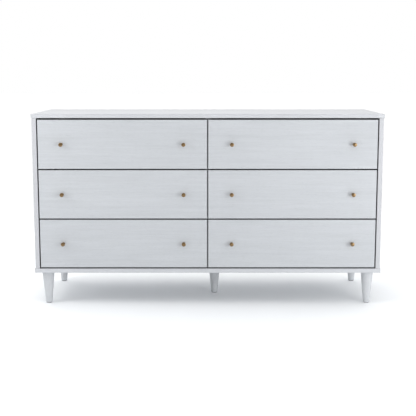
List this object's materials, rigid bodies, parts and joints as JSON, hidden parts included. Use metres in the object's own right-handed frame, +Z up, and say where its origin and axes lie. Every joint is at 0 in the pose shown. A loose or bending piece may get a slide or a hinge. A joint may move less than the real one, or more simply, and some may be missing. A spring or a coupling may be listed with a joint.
{
  "type": "dresser with drawers",
  "caption": "Low wide dresser with side-by-side columns of flush sliding drawers, small turned brass knobs and round tapered legs.",
  "frame": {"origin": "on the floor, under the centre of the whole object's box, knobs included", "axes": "+X to the right along the width as seen from the front, -Y out of the drawer fronts, +Z up"},
  "size_m": [1.42, 0.514, 0.784],
  "materials": {
    "white_laminate": "whitened fine horizontal grain, satin",
    "drawer_box_board": "plain off-white foil, satin",
    "white_hardboard": "painted smooth hardboard, matt",
    "beech_runner": "bare planed beech",
    "brass": "satin brushed",
    "zinc_plated_steel": "zinc plated"
  },
  "bodies": {
    "case": {"top_panel": "white_laminate", "bottom_panel": "white_laminate", "left_side_panel": "white_laminate", "right_side_panel": "white_laminate", "centre_divider": "white_laminate", "back_seam_strip": "white_laminate", "left_back_panel": "white_hardboard", "right_back_panel": "white_hardboard", "front_left_leg": "white_laminate", "front_left_leg_bolt": "zinc_plated_steel", "front_right_leg": "white_laminate", "front_right_leg_bolt": "zinc_plated_steel", "rear_left_leg": "white_laminate", "rear_left_leg_bolt": "zinc_plated_steel", "rear_right_leg": "white_laminate", "rear_right_leg_bolt": "zinc_plated_steel", "centre_support_leg": "white_laminate", "centre_support_leg_bolt": "zinc_plated_steel", "top_left_drawer_outer_runner": "beech_runner", "top_left_drawer_inner_runner": "beech_runner", "top_right_drawer_outer_runner": "beech_runner", "top_right_drawer_inner_runner": "beech_runner", "middle_left_drawer_outer_runner": "beech_runner", "middle_left_drawer_inner_runner": "beech_runner", "middle_right_drawer_outer_runner": "beech_runner", "middle_right_drawer_inner_runner": "beech_runner", "bottom_left_drawer_outer_runner": "beech_runner", "bottom_left_drawer_inner_runner": "beech_runner", "bottom_right_drawer_outer_runner": "beech_runner", "bottom_right_drawer_inner_runner": "beech_runner"},
    "top_left_drawer": {"top_left_drawer_front": "white_laminate", "top_left_drawer_walls": "drawer_box_board", "top_left_drawer_bottom": "white_hardboard", "top_left_drawer_left_knob": "brass", "top_left_drawer_right_knob": "brass"},
    "top_right_drawer": {"top_right_drawer_front": "white_laminate", "top_right_drawer_walls": "drawer_box_board", "top_right_drawer_bottom": "white_hardboard", "top_right_drawer_left_knob": "brass", "top_right_drawer_right_knob": "brass"},
    "middle_left_drawer": {"middle_left_drawer_front": "white_laminate", "middle_left_drawer_walls": "drawer_box_board", "middle_left_drawer_bottom": "white_hardboard", "middle_left_drawer_left_knob": "brass", "middle_left_drawer_right_knob": "brass"},
    "middle_right_drawer": {"middle_right_drawer_front": "white_laminate", "middle_right_drawer_walls": "drawer_box_board", "middle_right_drawer_bottom": "white_hardboard", "middle_right_drawer_left_knob": "brass", "middle_right_drawer_right_knob": "brass"},
    "bottom_left_drawer": {"bottom_left_drawer_front": "white_laminate", "bottom_left_drawer_walls": "drawer_box_board", "bottom_left_drawer_bottom": "white_hardboard", "bottom_left_drawer_left_knob": "brass", "bottom_left_drawer_right_knob": "brass"},
    "bottom_right_drawer": {"bottom_right_drawer_front": "white_laminate", "bottom_right_drawer_walls": "drawer_box_board", "bottom_right_drawer_bottom": "white_hardboard", "bottom_right_drawer_left_knob": "brass", "bottom_right_drawer_right_knob": "brass"}
  },
  "joints": [
    {"name": "top_left_drawer_slide", "type": "slide", "parent": "case", "child": "top_left_drawer", "axis": [0, -1, 0], "range_m": [0, 0.3]},
    {"name": "top_right_drawer_slide", "type": "slide", "parent": "case", "child": "top_right_drawer", "axis": [0, -1, 0], "range_m": [0, 0.3]},
    {"name": "middle_left_drawer_slide", "type": "slide", "parent": "case", "child": "middle_left_drawer", "axis": [0, -1, 0], "range_m": [0, 0.3]},
    {"name": "middle_right_drawer_slide", "type": "slide", "parent": "case", "child": "middle_right_drawer", "axis": [0, -1, 0], "range_m": [0, 0.3]},
    {"name": "bottom_left_drawer_slide", "type": "slide", "parent": "case", "child": "bottom_left_drawer", "axis": [0, -1, 0], "range_m": [0, 0.3]},
    {"name": "bottom_right_drawer_slide", "type": "slide", "parent": "case", "child": "bottom_right_drawer", "axis": [0, -1, 0], "range_m": [0, 0.3]}
  ]
}
